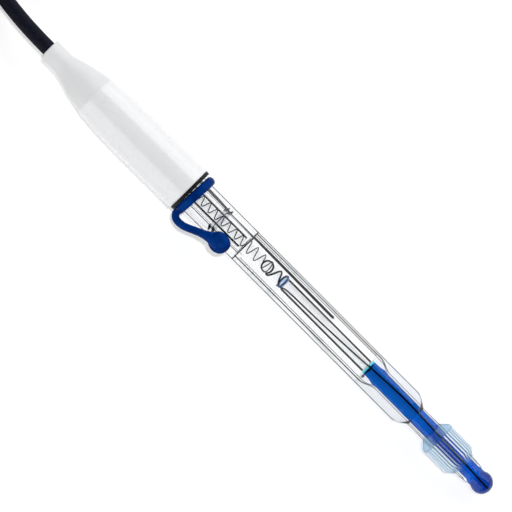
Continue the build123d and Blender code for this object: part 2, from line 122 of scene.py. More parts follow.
def tube(start, end, outer, inner):
    """A closed outline of a tube whose ends are melted round."""
    wall = (outer - inner) / 2
    round_off = 0.3 * wall
    return [
        (start, inner + wall), (start + round_off, outer - round_off), (start + wall, outer),
        ((start + end) / 2, outer),
        (end - wall, outer), (end - round_off, outer - round_off),
        (end, inner + wall), (end - round_off, inner + round_off), (end - wall, inner),
        ((start + end) / 2, inner),
        (start + wall, inner), (start + round_off, inner + round_off),
        (start, inner + wall),
    ]


# Meshes


def new_object(name, data, place=LAID):
    obj = bpy.data.objects.new(name, data)
    bpy.context.scene.collection.objects.link(obj)
    obj.matrix_world = place
    return obj


def soften(mesh, angle):
    mesh.polygons.foreach_set("use_smooth", [True] * len(mesh.polygons))
    mesh.set_sharp_from_angle(angle=math.radians(angle))


def off_axis(y):
    """The sway of a piece whose axis leaves the middle by the same y all along."""
    return lambda x: y


def lathe(name, outlines, hollows=(), segments=96, angle=32, sway=off_axis(0.0)):
    """A mesh of surfaces turned about the X axis. Each outline runs from axis to axis or is closed.
    A hollow's faces point into it. sway gives how far the axis leaves the middle in y, by x, for
    the hollows alone where there are any."""
    bm = bmesh.new()
    for outline, hollow in [(o, False) for o in outlines] + [(o, True) for o in hollows]:
        closed = outline[0] == outline[-1]
        rings = []
        for x, r in outline[:-1] if closed else outline:
            y = sway(x) if hollow or not hollows else 0.0
            if r < 1e-6:
                rings.append([bm.verts.new((x * MM, y * MM, 0))])
                continue
            rings.append([
                bm.verts.new((x * MM, (y + r * math.cos(a)) * MM, r * MM * math.sin(a)))
                for a in (2 * math.pi * i / segments for i in range(segments))
            ])
        pairs = list(zip(rings, rings[1:]))
        if closed:
            pairs.append((rings[-1], rings[0]))
        faces = []
        for one, two in pairs:
            for i in range(segments):
                j = (i + 1) % segments
                corners = (
                    one[i % len(one)], one[j % len(one)], two[j % len(two)], two[i % len(two)]
                )
                corners = list(dict.fromkeys(corners))
                if len(corners) > 2:
                    faces.append(bm.faces.new(corners))
        bmesh.ops.recalc_face_normals(bm, faces=faces)
        if hollow:
            bmesh.ops.reverse_faces(bm, faces=faces)
    mesh = bpy.data.meshes.new(name)
    bm.to_mesh(mesh)
    bm.free()
    soften(mesh, angle)
    return mesh


def lathed(name, outlines, **options):
    return new_object(name, lathe(name, outlines, **options))


def curve(name, points, radius, place=LAID, kind="NURBS", resolution=8, bevel=3, swell=None):
    """A round wire along points in millimetres. swell scales its radius at each point."""
    data = bpy.data.curves.new(name, "CURVE")
    data.dimensions = "3D"
    data.bevel_depth = 1.0
    data.bevel_resolution = bevel
    data.resolution_u = resolution
    data.use_fill_caps = True
    spline = data.splines.new(kind)
    spline.points.add(len(points) - 1)
    for i, p in enumerate(points):
        spline.points[i].co = (*(Vector(p) * MM), 1)
        spline.points[i].radius = radius * MM * (swell[i] if swell else 1)
    if kind == "NURBS":
        spline.order_u = 3
        spline.use_endpoint_u = True
    return new_object(name, data, place)


def evaluated(obj):
    """The mesh that an object's curve or modifiers give. The object itself is removed."""
    graph = bpy.context.evaluated_depsgraph_get()
    mesh = bpy.data.meshes.new_from_object(obj.evaluated_get(graph))
    mesh.name = obj.name
    bpy.data.objects.remove(obj)
    return mesh


def wire(name, points, radius, **options):
    """A curve turned into a mesh object in its place."""
    mesh = evaluated(curve(name, points, radius, **options))
    soften(mesh, 40)
    return new_object(name, mesh)


def merge(name, meshes):
    """One mesh from several, each given with the transform that places it."""
    bm = bmesh.new()
    for mesh, place in meshes:
        part = bmesh.new()
        part.from_mesh(mesh)
        part.transform(place)
        scratch = bpy.data.meshes.new("scratch")
        part.to_mesh(scratch)
        part.free()
        bm.from_mesh(scratch)
        bpy.data.meshes.remove(scratch)
    mesh = bpy.data.meshes.new(name)
    bm.to_mesh(mesh)
    bm.free()
    return mesh


def stand_for(obj, slot, body, *nodes):
    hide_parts(*nodes)
    if body:
        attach(obj, body)


# Materials

NOISE_DETAIL, NOISE_ROUGHNESS = 4, 0.6
MOTTLE_SPREAD = 0.12            # of the noise about 0.5, from the dark colour to the light one
ROUGH_FROM, ROUGH_TO = 0.3, 0.7
GLASS_IOR = 1.36
LAMP_SHARE = 0.96               # of a lamp's light that goes through one face of glass
LEAST_ACROSS = 0.0001           # keeps facing_ramp from dividing by 0
CLEAR = (0.985, 0.988, 0.99)
THIN_CLEAR = (0.996, 0.996, 0.997)


def principled(mat):
    return mat.node_tree.nodes["Principled BSDF"]


def material(name, color, roughness, **sockets):
    """A Principled material. Sockets are named with _ for a space."""
    mat = bpy.data.materials.new(name)
    mat.use_nodes = True
    shader = principled(mat)
    shader.inputs["Base Color"].default_value = (*color, 1)
    shader.inputs["Roughness"].default_value = roughness
    for socket, value in sockets.items():
        shader.inputs[socket.replace("_", " ")].default_value = value
    return mat


def bare_material(name):
    """A material with nothing but its output."""
    mat = bpy.data.materials.new(name)
    mat.use_nodes = True
    mat.node_tree.nodes.remove(principled(mat))
    return mat


def add(mat, kind, **values):
    node = mat.node_tree.nodes.new(kind)
    for key, value in values.items():
        setattr(node, key, value)
    return node


def link(mat, source, target):
    mat.node_tree.links.new(source, target)


def feed(mat, value, socket):
    """Gives a socket a number or an RGB colour, or links another socket to it."""
    if isinstance(value, (int, float)):
        socket.default_value = value
    elif isinstance(value, tuple):
        socket.default_value = (*value, 1)
    else:
        link(mat, value, socket)


def show(mat, shader):
    link(mat, shader, mat.node_tree.nodes["Material Output"].inputs["Surface"])


def maths(mat, operation, *values):
    node = add(mat, "ShaderNodeMath", operation=operation)
    for socket, value in zip(node.inputs, values):
        feed(mat, value, socket)
    return node.outputs[0]


def map_range(mat, value, start, end, low, high):
    node = add(mat, "ShaderNodeMapRange")
    link(mat, value, node.inputs["Value"])
    numbers = {"From Min": start, "From Max": end, "To Min": low, "To Max": high}
    for socket, number in numbers.items():
        node.inputs[socket].default_value = number
    return node.outputs["Result"]


def plain_shader(mat, kind, color):
    node = add(mat, kind)
    feed(mat, color, node.inputs["Color"])
    return node.outputs[0]


def mix_shaders(mat, share, first, second):
    """The first shader, with a share of the second."""
    node = add(mat, "ShaderNodeMixShader")
    for socket, value in zip(node.inputs, (share, first, second)):
        feed(mat, value, socket)
    return node.outputs[0]


def is_ray(mat, kind):
    """1 for rays of that kind and 0 for others."""
    return add(mat, "ShaderNodeLightPath").outputs[f"Is {kind} Ray"]


def own_place(mat):
    return add(mat, "ShaderNodeTexCoord").outputs["Object"]


def noise(mat, scale):
    """Noise in the object's own coordinates."""
    texture = add(mat, "ShaderNodeTexNoise")
    texture.inputs["Scale"].default_value = scale
    texture.inputs["Detail"].default_value = NOISE_DETAIL
    texture.inputs["Roughness"].default_value = NOISE_ROUGHNESS
    link(mat, own_place(mat), texture.inputs["Vector"])
    return texture.outputs["Fac"]


def ramp(mat, factor, stops):
    node = add(mat, "ShaderNodeValToRGB")
    elements = node.color_ramp.elements
    while len(elements) > 1:
        elements.remove(elements[-1])
    elements[0].position = stops[0][0]
    elements[0].color = (*stops[0][1], 1)
    for position, color in stops[1:]:
        elements.new(position).color = (*color, 1)
    link(mat, factor, node.inputs["Fac"])
    return node.outputs["Color"]


def mottle(mat, light, dark, scale):
    """Base colour that drifts between two near colours."""
    stops = [(0.5 - MOTTLE_SPREAD, dark), (0.5 + MOTTLE_SPREAD, light)]
    link(mat, ramp(mat, noise(mat, scale), stops), principled(mat).inputs["Base Color"])


def roughen(mat, low, high, scale):
    """Roughness that drifts between two values."""
    drift = map_range(mat, noise(mat, scale), ROUGH_FROM, ROUGH_TO, low, high)
    link(mat, drift, principled(mat).inputs["Roughness"])


def bump(mat, scale, depth, strength):
    """Relief of a given depth in millimetres."""
    node = add(mat, "ShaderNodeBump")
    node.inputs["Strength"].default_value = strength
    node.inputs["Distance"].default_value = depth * MM
    link(mat, noise(mat, scale), node.inputs["Height"])
    link(mat, node.outputs["Normal"], principled(mat).inputs["Normal"])


def along_axis(mat, start, end):
    """From 0 to 1 between two stations, for a mesh drawn in the electrode's coordinates."""
    split = add(mat, "ShaderNodeSeparateXYZ")
    link(mat, own_place(mat), split.inputs["Vector"])
    return map_range(mat, split.outputs["X"], start * MM, end * MM, 0, 1)


def facing(mat, normal=None):
    """Layer Weight's Facing, from 0 face on to 1 edge on, for the surface or another normal."""
    weight = add(mat, "ShaderNodeLayerWeight")
    weight.inputs["Blend"].default_value = 0.5
    if normal is not None:
        link(mat, normal, weight.inputs["Normal"])
    return weight.outputs["Facing"]


def facing_ramp(mat, tint, edge, start, end):
    """A colour that turns to the edge's at a tube's two silhouettes. The edge's dark colour is
    painted shade, standing for the dark surroundings seen through a clear wall's edges. The facing
    is divided by the share of the view that lies across the tube, so that a slanting view keeps the
    lines thin."""
    axis = add(mat, "ShaderNodeCombineXYZ")
    for socket, value in zip(axis.inputs, AXIS):
        socket.default_value = value
    along = maths(mat, "SUBTRACT", 1, facing(mat, axis.outputs[0]))
    squared = maths(mat, "MULTIPLY", along, along)
    rest = maths(mat, "SUBTRACT", 1 + LEAST_ACROSS, squared)
    across = maths(mat, "SQRT", rest)
    face_on = maths(mat, "DIVIDE", maths(mat, "SUBTRACT", 1, facing(mat)), across)
    turned_away = maths(mat, "SUBTRACT", 1, maths(mat, "MINIMUM", face_on, 1))
    return ramp(mat, turned_away, [(0.0, tint), (start, tint), (end, edge)])


def glass(name, tint, edge, start, end):
    """Refracting glass whose silhouettes go dark in a thin line of painted shade. Lamps shine
    through it.
    """
    mat = material(
        name, tint, 0.0, IOR=GLASS_IOR, Transmission_Weight=1.0, Specular_IOR_Level=0.0
    )
    shader = principled(mat)
    link(mat, facing_ramp(mat, tint, edge, start, end), shader.inputs["Base Color"])
    lit = plain_shader(mat, "ShaderNodeBsdfTransparent", (LAMP_SHARE,) * 3)
    show(mat, mix_shaders(mat, is_ray(mat, "Shadow"), shader.outputs[0], lit))
    return mat


def film(name, tint, edge, start, end):
    """A thin clear wall: a tint face on, and a painted dark line of shade where it is seen along
    its surface.
    """
    mat = bare_material(name)
    color = facing_ramp(mat, tint, edge, start, end)
    show(mat, plain_shader(mat, "ShaderNodeBsdfTransparent", color))
    return mat


def paint(obj, *mats):
    obj.data.materials.clear()
    for mat in mats:
        obj.data.materials.append(mat)


def wear(obj, index, chosen):
    """Gives the material of that index to the faces for which chosen(face) holds."""
    for face in obj.data.polygons:
        if chosen(face):
            face.material_index = index


def between(face, start, end):
    """True if the face's middle lies between two stations."""
    return start * MM < face.center.x < end * MM


def faces_inwards(face):
    outward = Vector((0, face.center.y, face.center.z))
    return face.normal.dot(outward) < 0 or abs(face.normal.x) > 0.5


def on_shoulder(face):
    """True for the faces that close the shaft at its shoulder."""
    return abs(face.normal.x) > 0.3 and between(face, SHOULDER - 0.5, STEM + 1)


# Camera: the photograph looks straight down, with the electrode from upper left to lower right

FRAME_WIDTH = 161.8             # millimetres across the picture
VIEW_HEIGHT = 1.6               # metres
SENSOR_WIDTH = 36
TURN = math.radians(45.066)     # of the electrode in the picture
VIEW_CENTRE = row(92.4, 0.1, 8)

camera = new_object("camera", bpy.data.cameras.new("camera"))
camera.data.sensor_width = SENSOR_WIDTH
camera.data.lens = SENSOR_WIDTH * VIEW_HEIGHT / (FRAME_WIDTH * MM)
camera.data.clip_end = 20
right = Vector((math.cos(TURN), math.sin(TURN), 0))
up = Vector((-math.sin(TURN), math.cos(TURN), 0))
camera_place = Matrix((right, up, Vector((0, 0, 1)))).transposed().to_4x4()
camera_place.translation = VIEW_CENTRE + Vector((0, 0, VIEW_HEIGHT))
camera.matrix_world = camera_place
bpy.context.scene.camera = camera

# Floor, which glows a little for the rays that see it, and a world that the camera sees white

FLOOR_HALF = 3                  # metres
FLOOR_DROP = 0.00002            # metres, to keep the floor out of what lies on it
FLOOR_WHITE = (0.9, 0.9, 0.9)
FLOOR_GLOW = 0.17
SKY = 0.15

corners = [(-1, -1), (1, -1), (1, 1), (-1, 1)]
floor_mesh = bpy.data.meshes.new("floor")
floor_mesh.from_pydata([(x * FLOOR_HALF, y * FLOOR_HALF, 0) for x, y in corners], [], [range(4)])
floor = new_object("floor", floor_mesh, Matrix.Translation((0, 0, -FLOOR_DROP)))

pale = bare_material("pale_floor")
seeing = maths(pale, "MAXIMUM", is_ray(pale, "Camera"), is_ray(pale, "Glossy"))
seeing = maths(pale, "MAXIMUM", seeing, is_ray(pale, "Transmission"))
glow = add(pale, "ShaderNodeEmission")
link(pale, maths(pale, "MULTIPLY", seeing, FLOOR_GLOW), glow.inputs["Strength"])
lit_floor = add(pale, "ShaderNodeAddShader")
link(pale, plain_shader(pale, "ShaderNodeBsdfDiffuse", FLOOR_WHITE), lit_floor.inputs[0])
link(pale, glow.outputs[0], lit_floor.inputs[1])
show(pale, lit_floor.outputs[0])
paint(floor, pale)

world = bpy.data.worlds.new("studio")
bpy.context.scene.world = world
world.use_nodes = True
world.node_tree.nodes.clear()
backgrounds = []
for color, strength in (((0.98, 0.99, 1), SKY), ((1, 1, 1), 1.0)):
    background = add(world, "ShaderNodeBackground")
    background.inputs["Color"].default_value = (*color, 1)
    background.inputs["Strength"].default_value = strength
    backgrounds.append(background.outputs[0])
studio = mix_shaders(world, is_ray(world, "Camera"), *backgrounds)
link(world, studio, add(world, "ShaderNodeOutputWorld").inputs["Surface"])

# Lamps: two long softboxes beside the electrode and a soft sun above it

STRIP_DISTANCE = 0.7
STRIP_LENGTH = 1.3


def strip(name, lean, width, power):
    """A softbox along the electrode, leaning from the vertical by so many degrees towards +Y."""
    lamp = bpy.data.lights.new(name, "AREA")
    lamp.shape = "RECTANGLE"
    lamp.size = width
    lamp.size_y = STRIP_LENGTH
    lamp.energy = power
    lamp.use_shadow = False
    a = math.radians(lean)
    back = Vector((0, math.sin(a), math.cos(a)))
    along = Vector((1, 0, 0))
    place = Matrix((along.cross(back), along, back)).transposed().to_4x4()
    place.translation = VIEW_CENTRE + back * STRIP_DISTANCE
    new_object(name, lamp, place)


strip("key", 67, 0.71, 5.1)
strip("fill", -62, 0.74, 4.2)

sun = bpy.data.lights.new("overhead", "SUN")
sun.energy = 1.15
sun.angle = math.radians(1.5)
sun_way = Vector((0.0, 0.11, 1)).to_track_quat("Z", "Y")
overhead = new_object("overhead", sun, sun_way.to_matrix().to_4x4())
overhead.visible_glossy = False
overhead.visible_transmission = False

# Cord: the run from the boot, three and a half turns of the hank, and the tail to the plug

CABLE_DIAMETER = 5.0
HANK_NEAR, HANK_FAR = -41.4, -114.4     # where its folds start
HANK_Y, HANK_Z = -15.3, 6.0555          # its middle
SIDE_STATIONS = (-65.7, -90.1)          # on its straight sides
FOLD = 17.5                             # radius of a fold at the bundle's middle
STRAND = 3.5355                         # from the bundle's middle to a strand's
FIRST_LAP_Y, FIRST_LAP_Z = 4.7, 3.5555
LAPS = 4                                # the last one has one fold alone
PLUG_AXIS = 7.25                        # above the floor


def strand(twist):
    """Outward and upward offset of the strand at its place in the bundle."""
    a = math.radians(-45 + twist)
    return STRAND * math.cos(a), STRAND * math.sin(a)


def fold_points(centre_x, start, twist, gain, steps=8):
    """Points round one end of the hank, without its first and last. The bundle twists by gain
    degrees on the way."""
    found = []
    for i in range(1, steps):
        t = i / steps
        out_by, up_by = strand(twist + gain * t)
        a = math.radians(start + 180 * t)
        r = FOLD + out_by
        found.append((centre_x + r * math.cos(a), HANK_Y + r * math.sin(a), HANK_Z + up_by))
    return found


def side_points(xs, side, twist):
    """Points along the hank's side towards +Y, 1, or -Y, -1."""
    out_by, up_by = strand(twist)
    return [(x, HANK_Y + side * (FOLD + out_by), HANK_Z + up_by) for x in xs]


# The route's points are those of the CAD model
exit_point = (0, 0, LIFT)
route = [
    exit_point,
    (-10 * math.cos(TILT), 0, LIFT + 10 * math.sin(TILT)),
    (-23.77, 1.69, 7.41),
    (-37.13, 3.95, 4.35),
    (-50.5, FIRST_LAP_Y, FIRST_LAP_Z),
    (-83.0, FIRST_LAP_Y, FIRST_LAP_Z),
]
for lap in range(LAPS):
    twist = 90 * lap
    if lap:
        route += side_points((HANK_NEAR, *SIDE_STATIONS), 1, twist)
    route += side_points((HANK_FAR,), 1, twist) + fold_points(HANK_FAR, 90, twist, 0)
    if lap < LAPS - 1:
        route += side_points((HANK_FAR, *SIDE_STATIONS[::-1], HANK_NEAR), -1, twist)
        route += fold_points(HANK_NEAR, 270, twist, 90)
route += [
    (-110.5, -30.3, FIRST_LAP_Z),
    (-100.49, -26.55, 4.44),
    (-92.43, -19.35, 5.957),
    (-82.7, HANK_Y, PLUG_AXIS),
    (-72.7, HANK_Y, PLUG_AXIS),
]
cable = curve(
    "cable", [row(*p) / MM for p in route], CABLE_DIAMETER / 2, place=UNMOVED, bevel=6
)
stand_for(cable, "cable_black", "electrode", "cable_run", "cable_hank", "cable_tail")

cable_black = material("cable_jacket", (0.006, 0.007, 0.014), 0.55, Specular_IOR_Level=0.06)
mottle(cable_black, (0.0075, 0.0085, 0.017), (0.0045, 0.005, 0.01), 900)
roughen(cable_black, 0.44, 0.58, 1500)
bump(cable_black, 2600, 0.02, 0.4)
paint(cable, cable_black)

# White mouldings and the rubber parts of the cap and the plug

cap_white = material("cap_gloss", (0.78, 0.785, 0.8), 0.3, Coat_Weight=1.0, Coat_Roughness=0.1)
mottle(cap_white, (0.785, 0.79, 0.805), (0.77, 0.775, 0.79), 130)
roughen(cap_white, 0.25, 0.33, 400)
bump(cap_white, 500, 0.005, 0.05)

boot_white = material("boot_matte", (0.72, 0.725, 0.73), 0.55)
mottle(boot_white, (0.73, 0.735, 0.74), (0.7, 0.705, 0.71), 200)
bump(boot_white, 1500, 0.02, 0.4)

black_rubber = material("black_rubber", (0.008, 0.008, 0.009), 0.55, Specular_IOR_Level=0.12)
mottle(black_rubber, (0.012, 0.012, 0.013), (0.004, 0.004, 0.005), 800)
bump(black_rubber, 2200, 0.02, 0.6)

# Glass and liquid as one refracting body, with the air above the filling and in the inner tube as
# its hollow. A clear skin just outside it draws the shaft's dark outline, which is painted shade,
# as are the dark silhouettes of the body itself.

INNER_SHIFT = 0.3               # of the inner tube's axis from the shaft's
SKIN = 0.03                     # thickness
TOP_EDGE = 0.3                  # bevel of the shaft's upper end


def sag(x):
    """The inner tube hangs a little off the shaft's axis, as in the photograph, and comes back
    towards it in the stem and the bulb."""
    return INNER_SHIFT - 0.1 * smooth_step(x, 150, 163) - 0.1 * smooth_step(x, 183, 191)


def air_sway(x):
    """The air above the level lies on the shaft's axis, and the air below it in the inner tube."""
    return INNER_SHIFT * smooth_step(x, LEVEL, LEVEL + 0.3)


outside = [(SHAFT_TOP, 0), (SHAFT_TOP, SHAFT_RADIUS - TOP_EDGE)]
outside += run(SHAFT_TOP + TOP_EDGE, SHOULDER - 1, SHAFT_RADIUS)
outside += bezier((SHOULDER, SHAFT_RADIUS), (160.6, SHAFT_RADIUS), (162.5, 4.6), (STEM - 0.1, 3.65))
outside += [
    (STEM + 0.25, 3.55), (168.9, 3.55), (169.2, 3.62), (175.3, 3.66), (181.3, 3.7), (187.4, 3.74),
    (187.8, 3.55), (STEM_END - 0.6, 3.53),
]
outside += ease((STEM_END - 0.5, 3.5), (STEM_END + 0.9, 3.06), 8)
outside += arc(BULB, BULB_RADIUS, 121, 0, 40)

air = [(SHAFT_TOP + 0.3, 0), *run(SHAFT_TOP + 0.3, LEVEL - 0.35, BORE_RADIUS)]
air += [(LEVEL - 0.05, 4.95), (LEVEL, 4.9), (LEVEL, 3.2), (LEVEL + 0.05, 3.15)]
air += run(LEVEL + 2, GEL_TOP - 0.3, 3.15) + [(GEL_TOP - 0.25, 3.1), (GEL_TOP - 0.25, 0)]

glass_body = lathed(
    "glass_body", [outside], hollows=[air], segments=128, angle=25, sway=air_sway
)
paint(
    glass_body,
    glass("clear_glass", CLEAR, (0.3, 0.3, 0.31), 0.76, 0.86),
    glass("shoulder_glass", CLEAR, (0.75, 0.76, 0.78), 0.7, 0.9),
)
wear(glass_body, 1, on_shoulder)
stand_for(
    glass_body, "clear_glass", "electrode",
    "outer_shaft", "reference_electrolyte", "sensing_bulb",
)

skin_outline = [(SHAFT_TOP - SKIN, 0), (SHAFT_TOP - SKIN, SHAFT_RADIUS - TOP_EDGE + SKIN)]
skin_outline += [(x, r + SKIN) for x, r in outside[2:-1]]
skin_outline += [(outside[-1][0] + SKIN, 0)]
skin = lathed("glass_skin", [skin_outline], segments=128, angle=25)
paint(
    skin,
    film("glass_skin", CLEAR, (0.46, 0.47, 0.49), 0.65, 0.76),
    film("glass_skin_shoulder", CLEAR, (0.72, 0.73, 0.75), 0.7, 0.9),
)
wear(skin, 1, on_shoulder)
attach(skin, "electrode")

# Inner tube, guide and cartridge, as thin walls in the liquid or the air, whose dark outlines are
# painted shade

TUBE_END = 188.5
FUNNEL_START = 142.1

tube_outline = run(SHAFT_TOP + 0.5, FUNNEL_START, TUBE_RADIUS)
tube_outline += ease((143.3, TUBE_RADIUS), (FUNNEL_END, TUBE_STEM_RADIUS))
tube_outline += [(TUBE_END, TUBE_STEM_RADIUS), (TUBE_END, TUBE_STEM_BORE)]
tube_outline += ease((FUNNEL_END, TUBE_STEM_BORE), (144.4, TUBE_BORE))
tube_outline += run(SHAFT_TOP + 0.5, FUNNEL_START, TUBE_BORE)[::-1]
tube_outline += tube_outline[:1]
ph_tube = lathed("ph_tube_wall", [tube_outline], angle=25, sway=sag)
paint(
    ph_tube,
    film("tube_outside", THIN_CLEAR, (0.12, 0.125, 0.13), 0.58, 0.7),
    film("tube_inside", (0.996, 0.996, 0.998), (0.5, 0.51, 0.53), 0.6, 0.75),
    film("tube_stem", THIN_CLEAR, (0.45, 0.46, 0.48), 0.6, 0.72),
)
wear(ph_tube, 1, faces_inwards)
wear(ph_tube, 2, lambda face: face.center.x > (FUNNEL_END + 0.1) * MM)
stand_for(ph_tube, "clear_glass", "electrode", "ph_tube")

narrow_tube = film("narrow_tube", THIN_CLEAR, (0.002, 0.002, 0.003), 0.29, 0.37)
narrow_bore = film("narrow_tube_bore", THIN_CLEAR, (0.5, 0.5, 0.53), 0.6, 0.8)
for name, outline, shift, node in (
    ("guide_wall", tube(41.2, 86.5, 2.12, 1.65), 0.2, "guide_tube"),
    ("cartridge_wall", tube(105.2, 141.8, 2.2, 1.7), 0.12, "cartridge_tube"),
):
    narrow = lathed(name, [outline], segments=64, angle=30, sway=off_axis(shift))
    paint(narrow, narrow_tube, narrow_bore)
    wear(narrow, 1, faces_inwards)
    stand_for(narrow, "clear_glass", "electrode", node)

# Small dark things in the glass: painted shade for the dark line at the filling's level and for the
# dark arc at the cartridge's end, and a bead beside it

painted_line_dark = material("painted_dark_line", (0.02, 0.02, 0.025), 0.5, Specular_IOR_Level=0.05)
mottle(painted_line_dark, (0.02, 0.02, 0.025), (0.008, 0.008, 0.01), 700)
bead_grey = material("bead_grey", (0.05, 0.055, 0.05), 0.4)
mottle(bead_grey, (0.07, 0.08, 0.07), (0.03, 0.035, 0.03), 900)

level_near, level_far = LEVEL + 0.04, LEVEL + 0.36
meniscus = lathed(
    "meniscus",
    [[(level_near, 3.85), (level_near, 4.95), (level_far, 4.98), (level_far, 3.82),
      (level_near, 3.85)]],
    angle=40,
)
cartridge_end = lathed(
    "cartridge_end",
    [[(142.7, 1.5), (143.0, 1.0), (143.15, 0.5), (143.2, 0), (143.52, 0), (143.45, 0.6),
      (143.2, 1.15), (142.85, 1.6), (142.7, 1.5)]],
    segments=48, angle=60, sway=off_axis(0.06),
)
bead = lathed(
    "bead", [arc(143.1, 0.48, 180, 0, 14)], segments=24, angle=60, sway=off_axis(-2.05)
)
for piece, mat, slot in (
    (meniscus, painted_line_dark, "electrolyte"),
    (cartridge_end, painted_line_dark, "clear_glass"),
    (bead, bead_grey, "clear_glass"),
):
    paint(piece, mat)
    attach(piece, "electrode")

# Gel, seen by the light that comes through it. Its colour runs along the axis from a painted
# reflection in bright cyan at its top to a deeper blue in the bulb, darkest towards the bulb's tip

GEL_RADIUS = 1.97
GEL_HAZE = 0.03                 # share of a dull blue in the clear dye
GEL_RAMP = (141, 198)           # the stations that its colours run between
# painted reflection: the bright cyan that the gel's top surface shows
MENISCUS_REFLECTION = (0.35, 0.95, 1.0)
FUNNEL_BLUE = (0.002, 0.34, 0.73)

gel_outline = [
    (141.97, 0), (141.97, 1.8), (142.02, 1.87), (142.9, 1.88), (143.5, 1.88), (145.0, 1.9),
    (145.9, 2.05), (146.9, 2.22), (147.8, 2.12), (FUNNEL_END, GEL_RADIUS), (160, GEL_RADIUS),
    (175, GEL_RADIUS), (188.4, GEL_RADIUS),
]
gel_outline += ease((188.8, 1.99), (191.0, 2.72), 8) + arc(BULB, BULB_RADIUS - 0.1, 128, 0, 30)
gel = lathed("gel", [gel_outline], angle=30, sway=sag)
gel_blue = bare_material("gel_blue")
dye_and_reflection = ramp(gel_blue, along_axis(gel_blue, *GEL_RAMP), [
    (0.0, MENISCUS_REFLECTION), (0.027, MENISCUS_REFLECTION), (0.033, FUNNEL_BLUE), (0.36, FUNNEL_BLUE),
    (0.46, (0.012, 0.34, 0.78)), (0.86, (0.015, 0.32, 0.78)), (0.9, (0.01, 0.22, 0.62)),
    (1.0, (0.005, 0.17, 0.52)),
])
dyed_and_reflected = plain_shader(gel_blue, "ShaderNodeBsdfTransparent", dye_and_reflection)
haze = plain_shader(gel_blue, "ShaderNodeBsdfDiffuse", (0.002, 0.03, 0.2))
lamp_light = plain_shader(gel_blue, "ShaderNodeBsdfTransparent", (0.9, 0.92, 0.95))
seen_gel = mix_shaders(gel_blue, GEL_HAZE, dyed_and_reflected, haze)
show(gel_blue, mix_shaders(gel_blue, is_ray(gel_blue, "Shadow"), seen_gel, lamp_light))
paint(gel, gel_blue)
stand_for(gel, "gel_blue", "electrode", "inner_gel")

# Wires

COIL_PITCH = 2.94
COIL_X, COIL_Y = 80.83, 0.45            # middle of turn 0
COIL_RADIUS, FREE_COIL_RADIUS = 1.36, 1.95
GUIDE_MOUTH = 86.6
FIRST_TURN, LAST_TURN = -10.3, 5.55
STEPS_A_TURN = 30
LOOP_X, LOOP_Y, LOOP_Z = 97.36, 0.1, -0.9
LOOP_START, LOOP_END = -75, -420        # degrees


def coil_points():
    """The spring's turns, which widen once they are out of the guide."""
    found = []
    for i in range(int((LAST_TURN - FIRST_TURN) * STEPS_A_TURN) + 1):
        n = FIRST_TURN + i / STEPS_A_TURN
        x = COIL_X + COIL_PITCH * n + 0.6 * smooth_step(n, 3.2, 5.4)
        widened = COIL_RADIUS + 0.5 * max(0.0, x - GUIDE_MOUTH)
        r = min(FREE_COIL_RADIUS, widened)
        a = 2 * math.pi * n
        found.append((x, COIL_Y - r * math.cos(a), r * math.sin(a)))
    return found


def loop_points():
    """The flat loop between the spring's turns and the cartridge."""
    found = []
    for degrees in range(LOOP_START, LOOP_END - 1, -15):
        share = (degrees - LOOP_START) / (LOOP_END - LOOP_START)
        a = math.radians(degrees)
        found.append(
            (LOOP_X + 1.85 * math.cos(a), LOOP_Y + 2.0 * math.sin(a), LOOP_Z + 1.8 * share)
        )
    return found


thin_part = coil_points() + [(98.15, 1.2, -1.2), (98.35, -0.2, -1.5), (98.2, -1.4, -1.3)]
thick_part = loop_points() + [
    (99.2, -1.75, 1.1), (99.65, -1.1, 1.6), (100.4, 0.4, 1.75), (101.1, 1.9, 1.2),
    (101.6, 2.25, 0.4), (102.1, 1.9, -0.5), (102.6, 0.7, -1.2), (103.1, -0.7, -1.2),
    (103.7, -1.6, -0.6),
]
wire_dark = material("wire_dark", (0.008, 0.008, 0.01), 0.45, Specular_IOR_Level=0.1)
mottle(wire_dark, (0.012, 0.012, 0.014), (0.004, 0.004, 0.006), 1500)
spring = wire(
    "contact_spring_wire", thin_part + thick_part, 0.17, resolution=2, bevel=2,
    swell=[1.0] * len(thin_part) + [1.75] * len(thick_part),
)
paint(spring, wire_dark)
stand_for(spring, "spring_wire", "electrode", "contact_spring")

silver = material("silver_wire", (0.005, 0.005, 0.006), 0.45, Specular_IOR_Level=0.1)
mottle(silver, (0.007, 0.007, 0.008), (0.003, 0.003, 0.004), 1500)
element = wire(
    "element_wire_strand",
    [(103.4, -2.0, 0), (104.7, -1.7, 0), (106.2, -0.9, 0), (109, -0.7, 0), (121, -0.45, 0),
     (135, 0.16, 0), (142.2, 0.6, 0), (144, 0.62, 0), (155, 1.08, 0), (163, 1.03, 0),
     (171.5, 0.78, 0), (186, 0.33, 0), (196.0, 0.02, 0)],
    0.25,
)
paint(element, silver)
stand_for(element, "silver_wire", "electrode", "element_wire")

reference = wire(
    "reference_wire_strand",
    [(28.5, 1.95, 1.75), (34.5, 1.95, 1.75), (43, 3.5, 2.7), (52, 4.05, 2.25), (66, 4.1, 2.2),
     (75, 3.9, 2.3), (76.6, 3.8, 2.35), (78, 3.65, 2.5), (86, 3.56, 2.6), (87.4, 3.5, 2.7),
     (88.4, 3.45, 2.76), (108, 3.34, 2.82), (123.6, 3.2, 2.88)],
    0.34, swell=[1.15] * 6 + [0.75, 0.45, 0.45, 0.65, 1.35, 1.35, 1.35],
)
paint(reference, silver)
stand_for(reference, "silver_wire", "electrode", "reference_wire")

# Collar on the cartridge's mouth: a leaning loop round a short clear neck

COLLAR_Y = 0.4
NECK_START, NECK_END, NECK_RADIUS = 103.3, 105.3, 2.0


